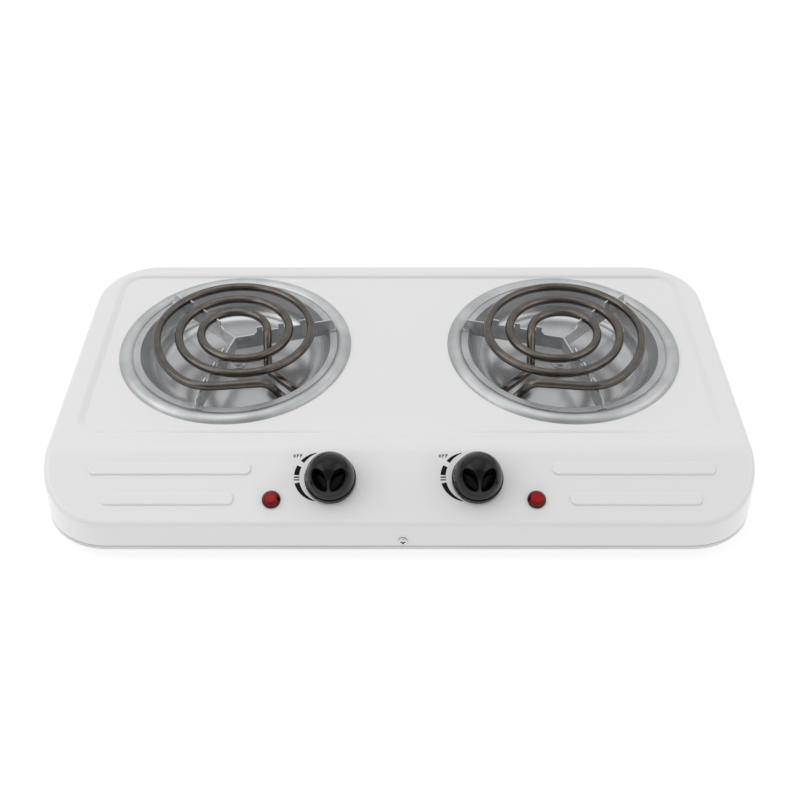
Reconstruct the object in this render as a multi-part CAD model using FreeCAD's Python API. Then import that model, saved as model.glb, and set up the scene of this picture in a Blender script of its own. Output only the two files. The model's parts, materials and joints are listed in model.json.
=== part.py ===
import FreeCAD, Part
import math
import os
from FreeCAD import Placement, Rotation, Vector

# A double hot plate. Millimetres and degrees; +X right, +Y back, +Z up.
# The origin is on the table, under the middle of the base.

# Heating coils: the sizes are for the left one, the right one is its mirror image
coil_wire = 6.1           # sheath diameter
coil_radius = 56.1        # centreline of the outer turn
coil_pitch = 16.05
coil_rounds = 2           # whole rounds, before the last half turn
coil_height = 13.2        # centreline above the deck
coil_tilt = 8.0           # direction in which the two centres of the spiral lie
coil_bend = 9.0           # bends of the two ends
front_widening = 18.9     # the outer lead leaves the circle on a wider arc
front_split = 37.0        # angle of that arc
front_tight = 35.0        # radius on which the lead then straightens
front_rise = 6.0          # angle by which the lead runs back towards the middle
front_run = 35.0          # straight run before the outer end dives
inner_run = 5.0           # straight run before the inner end dives
exit_azimuth = -45.0      # direction in which both ends leave the bowl
exit_drop = 5.5           # centreline of the ends below the deck
outer_exit = -9.2         # sideways place of each end along that direction
inner_exit = 2.3
outer_dive = 5.4          # the outer end has come down this far outside the coil
inner_dive = 33.0         # the inner end has come down this far from the middle

# Trim rings and drip bowls
ring_room = 15.85         # from the coil to the ring
ring_band = 10.0          # width of the ring
ring_crest = 3.5          # top of the ring above the deck
ring_crest_place = 5.8    # crest from the inner edge
ring_sheet = 0.6
ledge_width = 5.4         # flat rim of the bowl that shows inside the ring
ledge_height = 1.5
ledge_tuck = 4.0          # rim of the bowl hidden under the ring
bowl_depth = 17.0         # deck to the floor of the bowl
bowl_lean = 27.5          # wall of the bowl from upright
bowl_corner = 13.0
bowl_sheet = 0.6
bowl_clearance = 1.3      # bowl to the edge of its hole in the deck
window_clearance = 1.2    # coil ends to their window in the bowl

# Coil supports
blade_sheet = 1.0
blade_bottom = 3.0        # underside of the blades below the deck
blade_azimuths = (15.0, 135.0, 255.0)
hub_drop = 2.1            # middle of the support below the seats of the coil
tab_width = 4.0           # upright tabs beside the turns
tab_gap = 0.5
tab_above = 1.0           # tabs above the centreline of the coil
tip_slope = 4.0           # top of the blade falls by this at its tip
blade_foot = 7.0          # width of the feet of the support
seat_gap = 0.05

# Ends of the coils, under the deck
plate_beyond = 8.5        # terminal plate from the hole in the deck
plate_sheet = 1.2
plate_margin = 4.0
end_beyond = 8.0          # ends of the sheath from the terminal plate
pin_radius = 1.5
pin_length = 16.0
bead_radius = 3.8
bead_length = 8.0
bracket_width = 20.0
bracket_span = 44.0
bracket_foot = 10.0
bracket_sheet = 1.0

# Body
burner_gap = 71.3         # between the two rings
recess_side = 14.15       # rings to the edges of the sunk deck
recess_front = 10.6
recess_back = 2.7
recess_step = 4.5         # width of the sloping step around the deck
recess_step_back = 2.0    # the step is steeper behind the rings
recess_depth = 2.2        # deck below its border
recess_corner = 16.0
recess_round = 3.0        # bend at the top of the step
recess_fillet = 1.0       # bend at its foot
border_side = 18.35       # edges of the sunk deck to the outside of the base
border_back = 17.15
border_front = 14.35      # edge of the sunk deck to the bend above the panel
panel_depth = 50.9        # that bend to the front of the base
deck_height = 50.7        # table to the deck
skirt_height = 21.3       # underside of the base to the foot of the panel
corner_radius = 47.3      # plan corners of the base
wall_draft = 4.55         # lean of the side walls
bend_radius = 14.0        # bend between the border and the panel
edge_radius = 4.7         # rolled upper edge
shell_sheet = 0.8

# Base plate and feet
base_sheet = 0.8
lip_height = 2.5          # part of the base that shows below the shell
seam = 0.6                # dark line between the lip and the shell
flange_clearance = 0.3    # upturned flange inside the shell
flange_below = 4.8        # top of the flange below the foot of the panel
foot_height = 10.0
foot_radius = 12.0
foot_taper = 1.8
foot_edge = 1.0
foot_well = 4.5           # radius of the well for the screw head
foot_shelf = 4.0          # its depth
foot_inset = 55.0         # foot centres from the sides of the base
vent_length = 60.0
vent_width = 4.0
vent_pitch = 12.0
vent_count = 5
vent_clearance = 10.0     # vents from the feet of the bowl bracket

# Fasteners
bolt_radius = 2.0
bolt_head = 3.8
bolt_rise = 2.4
bolt_spare = 4.0          # shank past what it holds
screw_radius = 1.5
screw_head = 2.8
screw_rise = 1.6
screw_spare = 4.0
washer_radius = 6.0       # washer under the head of the bowl screw
washer_sheet = 0.8
nut_width = 7.0
nut_height = 3.2
hole_clearance = 0.2
head_ease = 0.6           # rounding of a screw head, as a share of its height
cross_slot = 0.22         # half width and reach of the cross recess, as shares of the head
cross_reach = 0.6
cross_floor = 0.45        # floor of the recess, as a share of the height
shell_screw_above = 4.7   # above the lower edge of the shell
front_screw_x = 2.4
back_screw_x = 150.0

# Control panel: the row of controls sits a little to the right of the middle
panel_shift = 3.0
knob_spacing = 95.9
knob_down = 22.6          # below the bend, along the panel
rib_shift = 1.6           # middle of the ribs from the middle of the body
rib_height = 1.2
rib_width = 8.7
rib_corner = 3.6
rib_round = 1.0
upper_rib_down = 14.9
upper_rib_inner = 98.9    # ends of the ribs from their middle
upper_rib_outer = 205.8
lower_rib_down = 35.8
lower_rib_inner = 109.2
lower_rib_outer = 194.9

# Knobs and thermostats
knob_radius = 16.8
knob_height = 26.0        # above the panel
knob_gap = 0.8            # under the knob
knob_flange = 4.0
knob_edge = 0.5           # rounding of the flange
knob_waist = 0.7          # dome inside the flange
knob_wall = 2.0
knob_hollow = 4.2         # depth of the hollow underside
scoop_floor = 13.8        # floor of the finger scoops, if it ran on to the middle of the knob
scoop_fall = 25.0         # slope of that floor towards the user
scoop_lean = 10.0         # and its slope outwards, up to the rim
scoop_tip = 1.4           # rounding of the two ends of a scoop
scoop_lip = 0.5           # rounding of its edge
grip_arc = 11.0           # a scoop is a leaf between two arcs: one along the grip
grip_arc_x = 11.75
grip_arc_down = 11.15
rim_arc = 9.75            # and one along the rim
rim_arc_x = 0.8
rim_arc_down = 3.5
boss_radius = 5.2
shaft_radius = 3.0
shaft_flat = 2.0          # axis to the flat of the shaft
shaft_rise = 13.0         # end of the shaft above the panel
shaft_tip = 2.0           # radius of the end that bears on the contact
running_gap = 0.05
end_gap = 0.3
collar_radius = 4.25
collar_sheet = 0.8
bush_radius = 5.0
bush_length = 8.0
frame_width = 36.0
frame_sheet = 1.2
frame_down = 17.0         # frame below and above the shaft, along the panel
frame_up = 8.0
frame_screw_inset = 0.7   # heads of the frame screws inside the knob's wall
stack_radius = 5.0
stack_down = 11.0         # ceramic stack below the shaft
stack_ring = 4.0          # lower ceramic rings
leaf_sheet = 0.6
leaf_width = 7.0
leaf_drop = 3.0           # upper leaf below the bush
tab_reach = 14.0          # terminals of the thermostat, back from the shaft
tab_side = 8.25
tab_breadth = 4.5

# Lamps
lamp_spacing = 172.0
lamp_down = 36.4
lamp_radius = 6.05
lamp_rim = 1.2
lamp_rise = 4.2
lamp_crown = 3.75         # radius at which the dome flattens
lamp_edge = 1.4
lamp_dome = 2.4
lamp_stem = 4.7
lamp_wall = 1.0
lamp_depth = 7.0
bulb_gap = 0.2
bulb_depth = 14.0
bulb_edge = 0.8
bulb_round = 2.8
clip_radius = 8.0
clip_sheet = 0.5

# Cord gland, terminal block and wiring
gland_bore = 3.9          # grips the cord in the outer collar
gland_room = 4.4          # wider hole behind the collar
gland_throat = 0.2        # the wider hole starts this far outside the sheet
gland_neck = 6.0
gland_flange = 8.0
gland_collar = 2.5
gland_taper = 1.0         # the collar narrows outwards
gland_lip = 1.1
gland_sleeve = 7.0
gland_above = 0.5         # above the flange of the base
block_length = 32.0
block_width = 18.0
block_height = 16.0
block_back = 24.0         # middle of the block from the back of the base
block_groove = 1.5
block_groove_depth = 3.0
pole_pitch = 10.0
pole_height = 9.2         # wire entries above the floor of the base
pole_well = 2.2
lead_radius = 1.1
thin_lead = 0.7           # radius of the lamp wires
bend_share = 0.45         # part of the shorter run that a bend of a lead takes up
wire_pair = 1.9           # two wires of one pole beside its middle
tag_sheet = 1.0
tag_radius = 5.0
tag_barrel = 8.0          # length of the barrel of the earth tag
tag_lift = 0.2            # barrel above the base
earth_x = -36.0
earth_y = 70.0

# Sizes, levels and lines that follow
coil_tube = coil_wire / 2
ring_inner = coil_radius + coil_tube + ring_room
ring_radius = ring_inner + ring_band
bowl_mouth = ring_inner - ledge_width
bowl_rim = ring_inner + ledge_tuck
deck_hole = bowl_mouth + bowl_sheet + bowl_clearance
plate_reach = deck_hole + plate_beyond
end_reach = plate_reach + end_beyond
burner_x = burner_gap / 2 + ring_radius
recess_half = burner_x + ring_radius + recess_side
body_width = 2 * (recess_half + border_side)
body_depth = panel_depth + border_front + recess_front + 2 * ring_radius + recess_back + border_back
front = -body_depth / 2
back = body_depth / 2
burner_y = back - border_back - recess_back - ring_radius
recess_y0 = burner_y - ring_radius - recess_front
recess_y1 = burner_y + ring_radius + recess_back
bend_y = front + panel_depth
draft_slope = math.tan(math.radians(wall_draft))
base_floor = foot_height + base_sheet
lip_top = foot_height + lip_height
shell_bottom = lip_top + seam
foot_z = foot_height + skirt_height
foot_y = front + skirt_height * draft_slope
flange_top = foot_z - flange_below
border_top = deck_height + recess_depth
panel_angle = math.degrees(math.atan2(border_top - foot_z, bend_y - foot_y))
knob_cavity = knob_radius - knob_waist - knob_wall
frame_screw_x = knob_cavity - screw_head - frame_screw_inset
leaf_depths = (bush_length + leaf_drop, bush_length + leaf_drop + stack_ring)
stack_end = leaf_depths[1] + stack_ring
ribs = ((upper_rib_down, upper_rib_inner, upper_rib_outer),
        (lower_rib_down, lower_rib_inner, lower_rib_outer))
screw_hole = screw_radius + hole_clearance
bolt_hole = bolt_radius + hole_clearance
past = 10.0               # how far a cutting form runs past what it cuts
origin = Vector(0, 0, 0)
upward = Vector(0, 0, 1)


def bend(before, corner, after, radius):
    """Start, middle and end of the tangent arc at a corner."""
    back_way = (before - corner).normalize()
    on_way = (after - corner).normalize()
    half = back_way.getAngle(on_way) / 2
    reach = radius / math.tan(half)
    inward_way = (back_way + on_way).normalize()
    centre = corner + inward_way * (radius / math.sin(half))
    return corner + back_way * reach, centre - inward_way * radius, corner + on_way * reach


def bent_edges(points, radii, closed=False):
    """Straight runs joined by tangent arcs; a radius of 0 keeps a corner sharp."""
    corners = []
    last = len(points) - 1
    for index, point in enumerate(points):
        at_end = not closed and index in (0, last)
        if at_end or not radii[index]:
            corners.append((point, None, point))
        else:
            after = points[(index + 1) % len(points)]
            corners.append(bend(points[index - 1], point, after, radii[index]))
    edges = []
    for index, (start, middle, end) in enumerate(corners):
        if middle:
            edges.append(Part.Arc(start, middle, end).toShape())
        if closed or index < last:
            following = corners[(index + 1) % len(corners)][0]
            edges.append(Part.LineSegment(end, following).toShape())
    return edges


def face_of(points, radii=None):
    return Part.Face(Part.Wire(bent_edges(points, radii or [0] * len(points), closed=True)))


def upright(outline):
    """Points of an outline of radii and heights."""
    return [Vector(radius, 0, height) for radius, height in outline]


def turned(outline, radii=None):
    """Solid turned about Z from an outline of radii and heights."""
    return face_of(upright(outline), radii).revolve(origin, upward, 360)


def slab(x0, x1, y0, y1, z0, z1):
    return Part.makeBox(x1 - x0, y1 - y0, z1 - z0, Vector(x0, y0, z0))


def rod(radius, low, high, x=0.0, y=0.0):
    return Part.makeCylinder(radius, high - low, Vector(x, y, low))


def rounded_rectangle(x0, x1, y0, y1, radius, z):
    corners = [Vector(x0, y0, z), Vector(x1, y0, z), Vector(x1, y1, z), Vector(x0, y1, z)]
    return Part.Wire(bent_edges(corners, [radius] * 4, closed=True))


def between(outlines):
    return Part.makeLoft(outlines, True, True)


def placed(shape, placement):
    moved = shape.copy()
    moved.Placement = placement.multiply(moved.Placement)
    return moved


def moved_to(shape, place):
    return placed(shape, Placement(place, Rotation()))


def spun(shape, azimuth):
    return placed(shape, Placement(origin, Rotation(upward, azimuth)))


def fused(shapes):
    return shapes[0].multiFuse(shapes[1:]).removeSplitter()


def mirrored(shape):
    return shape.mirror(origin, Vector(1, 0, 0))


# Body


def wall_outline(inset, z):
    """Plan of the leaning walls at one height."""
    lean = (z - foot_height) * draft_slope + inset
    half = body_width / 2 - lean
    return rounded_rectangle(-half, half, front + lean, back - lean, corner_radius - lean, z)


def panel_profile(inset):
    """Side view of the border, the bend and the control panel, closed well below and behind."""
    half_turn = math.radians(panel_angle) / 2
    corner = Vector(-body_width, bend_y + inset * math.tan(half_turn), border_top - inset)
    down = Vector(0, -math.cos(2 * half_turn), -math.sin(2 * half_turn))
    ahead = corner + down * (2 * panel_depth)
    behind = Vector(corner.x, body_depth, corner.z)
    low = -body_depth
    points = [behind, corner, ahead, Vector(corner.x, ahead.y, low), Vector(corner.x, behind.y, low)]
    return face_of(points, [0, bend_radius - inset, 0, 0, 0])


def leans_like_wall(face):
    u0, u1, v0, v1 = face.ParameterRange
    tilt = face.normalAt((u0 + u1) / 2, (v0 + v1) / 2).z
    return abs(tilt) < math.sin(math.radians(3 * wall_draft))


def body_form(inset, bottom):
    """The body as a full solid, its sheet moved in by the inset."""
    walls = between([wall_outline(inset, bottom), wall_outline(inset, border_top + past)])
    form = walls.common(panel_profile(inset).extrude(Vector(2 * body_width, 0, 0)))
    upper = []
    for edge in form.Edges:
        walls_there = [leans_like_wall(face) for face in form.ancestorsOfType(edge, Part.Face)]
        if walls_there.count(True) == 1 and edge.BoundBox.ZMin > bottom + seam:
            upper.append(edge)
    return form.makeFillet(edge_radius - inset, upper)


def recess_form(sheet):
    """The sunk deck as a solid to cut away, or the same moved out and down by the sheet."""
    outlines = []
    for inset, inset_back, z in ((recess_step, recess_step_back, deck_height), (0, 0, border_top)):
        half = recess_half - inset + sheet
        y0 = recess_y0 + inset - sheet
        y1 = recess_y1 - inset_back + sheet
        outlines.append(rounded_rectangle(-half, half, y0, y1, recess_corner - inset_back + sheet, z - sheet))
    step = between(outlines)
    foot = [edge for edge in step.Edges if edge.BoundBox.ZMax < deck_height - sheet + recess_fillet]
    opening = Part.Face(outlines[1]).extrude(Vector(0, 0, past))
    return step.makeFillet(recess_fillet + sheet, foot).fuse(opening)


def sunk(form, sheet):
    """The body with its deck sunk, and a soft bend where the border turns down."""
    form = form.cut(recess_form(sheet))
    level = border_top - sheet
    rim = []
    for edge in form.Edges:
        box = edge.BoundBox
        inside = box.XMax < recess_half + past and recess_y0 - past < box.YMin and box.YMax < recess_y1 + past
        if inside and abs(box.ZMin - level) + box.ZLength < seam:
            rim.append(edge)
    return form.makeFillet(recess_round - sheet, rim)


def on_panel(x, down):
    """Frame on the outer face of the panel: Y up the slope, Z out of it."""
    angle = math.radians(panel_angle)
    place = Vector(x, bend_y - down * math.cos(angle), border_top - down * math.sin(angle))
    return Placement(place, Rotation(Vector(1, 0, 0), panel_angle))


def control_places(spacing, down):
    return {"left": on_panel(panel_shift - spacing / 2, down),
            "right": on_panel(panel_shift + spacing / 2, down)}


def wall_frame(x, height, behind):
    """Frame on the outer face of the front or back wall, Z pointing out."""
    lean = (height - foot_height) * draft_slope
    if behind:
        return Placement(Vector(x, back - lean, height), Rotation(Vector(1, 0, 0), wall_draft - 90))
    return Placement(Vector(x, front + lean, height), Rotation(Vector(1, 0, 0), 90 - wall_draft))


knob_places = control_places(knob_spacing, knob_down)
lamp_places = control_places(lamp_spacing, lamp_down)
burner_places = {"left": Vector(-burner_x, burner_y, deck_height),
                 "right": Vector(burner_x, burner_y, deck_height)}
shell_screw_places = []
for x, behind in ((front_screw_x, False), (-back_screw_x, True), (back_screw_x, True)):
    shell_screw_places.append(wall_frame(x, shell_bottom + shell_screw_above, behind))
gland_place = wall_frame(0, flange_top + gland_above + gland_flange, True)
block_y = back - block_back
foot_places = {}
for end, y in (("front", front + foot_inset), ("rear", back - foot_inset)):
    for side, x in (("left", foot_inset - body_width / 2), ("right", body_width / 2 - foot_inset)):
        foot_places[end + "_" + side] = Vector(x, y, 0)


def rib_form(length, inset, low, high):
    half_x = length / 2 - inset
    half_y = rib_width / 2 - inset
    outline = rounded_rectangle(-half_x, half_x, -half_y, half_y, rib_corner - inset, low)
    return Part.Face(outline).extrude(Vector(0, 0, high - low))


def raised_rib(length):
    rib = rib_form(length, 0, -shell_sheet, rib_height)
    crown = [edge for edge in rib.Edges if edge.BoundBox.ZMin > rib_height / 2]
    return rib.makeFillet(rib_round, crown)


def top_shell():
    """Pressed sheet: walls, border, sunk deck and a panel with hollow ribs."""
    outside = sunk(body_form(0, shell_bottom), 0)
    cuts = [sunk(body_form(shell_sheet, shell_bottom - seam), shell_sheet)]
    raised = []
    for down, inner, outer in ribs:
        for side in (-1, 1):
            place = on_panel(rib_shift + side * (inner + outer) / 2, down)
            raised.append(placed(raised_rib(outer - inner), place))
            hollow = rib_form(outer - inner, shell_sheet, -2 * shell_sheet, rib_height - shell_sheet)
            cuts.append(placed(hollow, place))
    for centre in burner_places.values():
        cuts.append(moved_to(rod(deck_hole, -past, past), centre))
    for place in knob_places.values():
        cuts.append(placed(rod(bush_radius + hole_clearance, -past, past), place))
        for x in (-frame_screw_x, frame_screw_x):
            cuts.append(placed(rod(screw_hole, -past, past, x), place))
    for place in lamp_places.values():
        cuts.append(placed(rod(lamp_stem + hole_clearance, -past, past), place))
    for place in shell_screw_places:
        cuts.append(placed(rod(screw_hole, -past, past), place))
    cuts.append(placed(rod(gland_neck + hole_clearance, -past, past), gland_place))
    return outside.multiFuse(raised).cut(cuts)


def base_plate():
    """Shallow tray: floor and lip below the shell, then a flange inside it."""
    outer = shell_sheet + flange_clearance
    inner = outer + base_sheet
    lip = between([wall_outline(0, foot_height), wall_outline(0, lip_top)])
    flange = between([wall_outline(outer, base_floor), wall_outline(outer, flange_top)])
    room = between([wall_outline(inner, base_floor), wall_outline(inner, flange_top + past)])
    cuts = [room]
    for place in foot_places.values():
        cuts.append(rod(bolt_hole, 0, past + base_floor, place.x, place.y))
    for x, y in ((earth_x, earth_y), (0, block_y)):
        cuts.append(rod(bolt_hole, 0, past + base_floor, x, y))
    vent_x = bracket_span / 2 + bracket_foot + vent_clearance + vent_length / 2
    vent = slab(-vent_length / 2, vent_length / 2, -vent_width / 2, vent_width / 2, -past, past)
    for centre in burner_places.values():
        for index in range(vent_count):
            y = centre.y + (index - (vent_count - 1) / 2) * vent_pitch
            for side in (-1, 1):
                cuts.append(moved_to(vent, Vector(centre.x + side * vent_x, y, foot_height)))
    for place in shell_screw_places:
        cuts.append(placed(rod(screw_hole, -past, 0), place))
    return lip.fuse(flange).cut(cuts)


def rubber_foot():
    outline = [(foot_well, 0), (foot_radius - foot_taper, 0), (foot_radius, foot_height),
               (bolt_hole, foot_height), (bolt_hole, foot_shelf), (foot_well, foot_shelf)]
    return turned(outline, [0, foot_edge, 0, 0, 0, 0])


def foot_screw():
    head = rod(bolt_head, foot_shelf - bolt_rise, foot_shelf)
    return head.fuse(rod(bolt_radius, foot_shelf, base_floor + bolt_spare))


def cross_screw(head_radius, rise, shank, length):
    """Pan-head screw with a cross recess, its head on Z = 0."""
    head = turned([(0, 0), (head_radius, 0), (head_radius, rise), (0, rise)], [0, 0, rise * head_ease, 0])
    slot = head_radius * cross_slot
    reach = head_radius * cross_reach
    low = rise * cross_floor
    cross = slab(-reach, reach, -slot, slot, low, rise + past)
    cross = cross.fuse(slab(-slot, slot, -reach, reach, low, rise + past))
    return head.cut(cross).fuse(rod(shank, -length, 0))


# Burner, in the frame of the left one: origin on the deck at the burner's middle


def trim_ring():
    crest = ring_inner + ring_crest_place
    outer = upright([(ring_inner, ledge_height + ring_sheet), (crest, ring_crest), (ring_radius, 0)])
    inner = upright([(ring_radius - ring_sheet, 0), (crest, ring_crest - ring_sheet),
                     (ring_inner, ledge_height)])
    edges = [Part.Arc(*outer).toShape(), Part.LineSegment(outer[2], inner[0]).toShape(),
             Part.Arc(*inner).toShape(), Part.LineSegment(inner[2], outer[0]).toShape()]
    return Part.Face(Part.Wire(edges)).revolve(origin, upward, 360)


def bowl_wall(z):
    """Inner radius of the bowl's wall at one height."""
    return bowl_mouth - (ledge_height - z) * math.tan(math.radians(bowl_lean))


def heading_vector(heading):
    return Vector(math.cos(math.radians(heading)), math.sin(math.radians(heading)), 0)


def along_exit(distance, sideways, z):
    """Point in the frame of the two coil ends."""
    flat = heading_vector(exit_azimuth) * distance + heading_vector(exit_azimuth + 90) * sideways
    return flat + Vector(0, 0, z)


exit_low = min(outer_exit, inner_exit) - coil_tube
exit_high = max(outer_exit, inner_exit) + coil_tube


def drip_bowl():
    slant = bowl_sheet / math.cos(math.radians(bowl_lean))
    floor = -bowl_depth
    under = floor - bowl_sheet
    rim_under = ledge_height - bowl_sheet
    outline = [(bowl_rim, 0), (bowl_rim, ledge_height), (bowl_mouth, ledge_height),
               (bowl_wall(floor), floor), (bolt_hole, floor), (bolt_hole, under),
               (bowl_wall(under) + slant, under), (bowl_wall(rim_under) + slant, rim_under),
               (bowl_rim - bowl_sheet, rim_under), (bowl_rim - bowl_sheet, 0)]
    radii = [0, bowl_sheet, bowl_sheet, bowl_corner, 0, 0, bowl_corner + bowl_sheet, 0, 0, 0]
    window = slab(bowl_mouth - past, bowl_mouth + past,
                  exit_low - window_clearance, exit_high + window_clearance,
                  -exit_drop - coil_tube - window_clearance, -exit_drop + coil_tube + window_clearance)
    return turned(outline, radii).cut(spun(window, exit_azimuth))


def turn_arc(start, heading, radius, turn):
    """Flat arc from a start and heading, left for a positive turn; also its end and new heading."""
    side = math.copysign(radius, turn)
    centre = start + heading_vector(heading + 90) * side
    middle = centre - heading_vector(heading + turn / 2 + 90) * side
    end = centre - heading_vector(heading + turn + 90) * side
    return Part.Arc(start, middle, end).toShape(), end, heading + turn


def coil_path():
    """Centreline from the outer end to the inner end, and the flat turns alone."""
    left_point = heading_vector(coil_tilt) * -coil_radius + Vector(0, 0, coil_height)
    heading = coil_tilt - 90
    wide, point, heading = turn_arc(left_point, heading, coil_radius + front_widening, front_split)
    tight, lead_start, heading = turn_arc(point, heading, front_tight, front_rise - heading)
    outer = [along_exit(end_reach, outer_exit, -exit_drop),
             along_exit(coil_radius + outer_dive, outer_exit, -exit_drop),
             lead_start + heading_vector(heading) * front_run, lead_start]
    turns = []
    point, heading, radius = left_point, coil_tilt + 90, coil_radius
    for _ in range(2 * coil_rounds + 1):
        arc, point, heading = turn_arc(point, heading, radius, -180)
        turns.append(arc)
        radius -= coil_pitch / 2
    inner = [point, point + heading_vector(heading) * inner_run,
             along_exit(inner_dive, inner_exit, -exit_drop), along_exit(end_reach, inner_exit, -exit_drop)]
    bends = [0, coil_bend, coil_bend, 0]
    flat = [tight, wide] + turns
    return Part.Wire(bent_edges(outer, bends) + flat + bent_edges(inner, bends)), flat


def swept(path, radius):
    start = path.OrderedVertexes[0].Point
    edge = path.OrderedEdges[0]
    section = Part.Wire(Part.makeCircle(radius, start, edge.tangentAt(edge.FirstParameter)))
    return path.makePipeShell([section], True, False)


def least_gap(path, diameter):
    """Smallest clear distance from the tube to itself, measured on points of its centreline."""
    step = diameter / 6
    points = path.discretize(Distance=step)
    apart = math.ceil(math.pi * diameter / step)
    nearest = body_width
    for index, point in enumerate(points):
        for other in points[index + apart:]:
            nearest = min(nearest, point.distanceToPoint(other))
    return nearest - diameter


def heating_coil():
    path, _ = coil_path()
    tube = swept(path, coil_tube)
    section = math.pi * coil_tube ** 2
    print("coil: least gap to itself %.2f mm" % least_gap(path, coil_wire))
    print("coil: volume over section times length %.4f" % (tube.Volume / (section * path.Length)))
    return tube


def crossings(azimuth):
    """Radii at which the flat turns pass over a blade."""
    ray = heading_vector(azimuth)
    across = heading_vector(azimuth + 90)
    found = []
    for edge in coil_path()[1]:
        points = edge.discretize(Distance=coil_wire / 12)
        for first, second in zip(points, points[1:]):
            if across.dot(first) * across.dot(second) <= 0 < ray.dot(first):
                found.append(ray.dot(first))
    return sorted(found)


def support_blade(azimuth):
    """One blade on edge: it carries the turns between tabs and stands on the rim of the bowl."""
    seat = coil_height - coil_tube - seat_gap
    hub_top = seat - hub_drop
    tab_top = coil_height + tab_above
    tip = ring_inner - tab_gap
    outline = []
    for radius in crossings(azimuth):
        outside = radius - coil_tube - tab_gap
        inside = outside - tab_width
        if not outline:
            outline = [(0, hub_top), (inside - tab_gap - hub_drop, hub_top), (inside - tab_gap, seat)]
        if inside > outline[-1][0]:
            outline += [(inside, seat), (inside, tab_top), (outside, tab_top), (outside, seat)]
    inner_end = bowl_mouth - bowl_sheet
    fall = math.tan(math.radians(bowl_lean)) * (ledge_height + blade_bottom)
    outline += [(tip - tip_slope / 2, seat), (tip, seat - tip_slope), (tip, ledge_height),
                (inner_end, ledge_height), (inner_end - fall, -blade_bottom), (0, -blade_bottom)]
    face = face_of(upright(outline))
    face.translate(Vector(0, -blade_sheet / 2, 0))
    foot = slab(bowl_mouth + tab_gap, tip, -blade_foot / 2, blade_foot / 2,
                ledge_height, ledge_height + blade_sheet)
    return spun(face.extrude(Vector(0, blade_sheet, 0)).fuse(foot), azimuth)


def coil_support():
    return fused([support_blade(azimuth) for azimuth in blade_azimuths])


def end_rod(radius, start, length, sideways):
    """Cylinder on the line of one coil end."""
    axis = heading_vector(exit_azimuth)
    return Part.makeCylinder(radius, length, along_exit(start, sideways, -exit_drop), axis)


def terminal_pins():
    return [end_rod(pin_radius, end_reach, pin_length, sideways) for sideways in (outer_exit, inner_exit)]


def terminal_beads():
    beads = []
    for sideways in (outer_exit, inner_exit):
        hole = end_rod(pin_radius + hole_clearance / 2, end_reach, bead_length, sideways)
        beads.append(end_rod(bead_radius, end_reach, bead_length, sideways).cut(hole))
    return beads


def terminal_plate():
    """Plate under the deck that holds both ends of the coil."""
    plate = slab(plate_reach, plate_reach + plate_sheet, exit_low - plate_margin, exit_high + plate_margin,
                 -exit_drop - coil_tube - plate_margin, -shell_sheet)
    holes = []
    for sideways in (outer_exit, inner_exit):
        holes.append(end_rod(coil_tube + hole_clearance, plate_reach - past, 2 * past, sideways))
    return spun(plate, exit_azimuth).cut(holes)


def bowl_bracket():
    """Hat-shaped strip on the base under the bowl."""
    top = -bowl_depth - bowl_sheet
    bottom = base_floor - deck_height
    half = bracket_span / 2
    foot = half + bracket_foot
    right = [(half, top), (half, bottom + bracket_sheet), (foot, bottom + bracket_sheet), (foot, bottom),
             (half - bracket_sheet, bottom), (half - bracket_sheet, top - bracket_sheet)]
    left = [(-x, z) for x, z in reversed(right)]
    face = face_of(upright(right + left))
    face.translate(Vector(0, -bracket_width / 2, 0))
    return face.extrude(Vector(0, bracket_width, 0)).cut(rod(bolt_hole, bottom, 0))


def bowl_screw():
    """Screw and its washer, on the floor of the bowl."""
    length = washer_sheet + bowl_sheet + bracket_sheet + nut_height
    screw = moved_to(cross_screw(bolt_head, bolt_rise, bolt_radius, length), Vector(0, 0, washer_sheet))
    washer = rod(washer_radius, 0, washer_sheet)
    return moved_to(fused([screw, washer]), Vector(0, 0, -bowl_depth))


def bowl_nut():
    top = -bowl_depth - bowl_sheet - bracket_sheet
    corner = Vector(0, nut_width / math.sqrt(3), top)
    corners = [Rotation(upward, 60 * index).multVec(corner) for index in range(6)]
    prism = face_of(corners).extrude(Vector(0, 0, -nut_height))
    return prism.cut(rod(bolt_radius + hole_clearance / 2, top - nut_height, top))


# Controls, in the frame of the panel: Z out of its outer face


def shaft_form(grow, top):
    """D-shaped end of the shaft above the panel."""
    wide = 2 * shaft_radius
    form = rod(shaft_radius + grow, 0, top)
    return form.cut(slab(shaft_flat + grow, wide, -wide, wide, knob_gap, knob_height))


def finger_scoop():
    """Left scoop: an upright leaf between two arcs, over a floor that falls to the user and the grip."""
    top = knob_height + past
    along_grip = moved_to(spun(rod(grip_arc, 0, top), 180), Vector(-grip_arc_x, -grip_arc_down, 0))
    leaf = along_grip.common(rod(rim_arc, 0, top, -rim_arc_x, -rim_arc_down))
    tips = [edge for edge in leaf.Edges if edge.BoundBox.ZLength > knob_height]
    room = slab(-2 * knob_radius, knob_radius, -2 * knob_radius, knob_radius, 0, top)
    slope = Rotation(Vector(0, 1, 0), -scoop_lean).multiply(Rotation(Vector(1, 0, 0), scoop_fall))
    floor = Placement(Vector(0, 0, scoop_floor), slope)
    return leaf.makeFillet(scoop_tip, tips).common(placed(room, floor))


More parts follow.
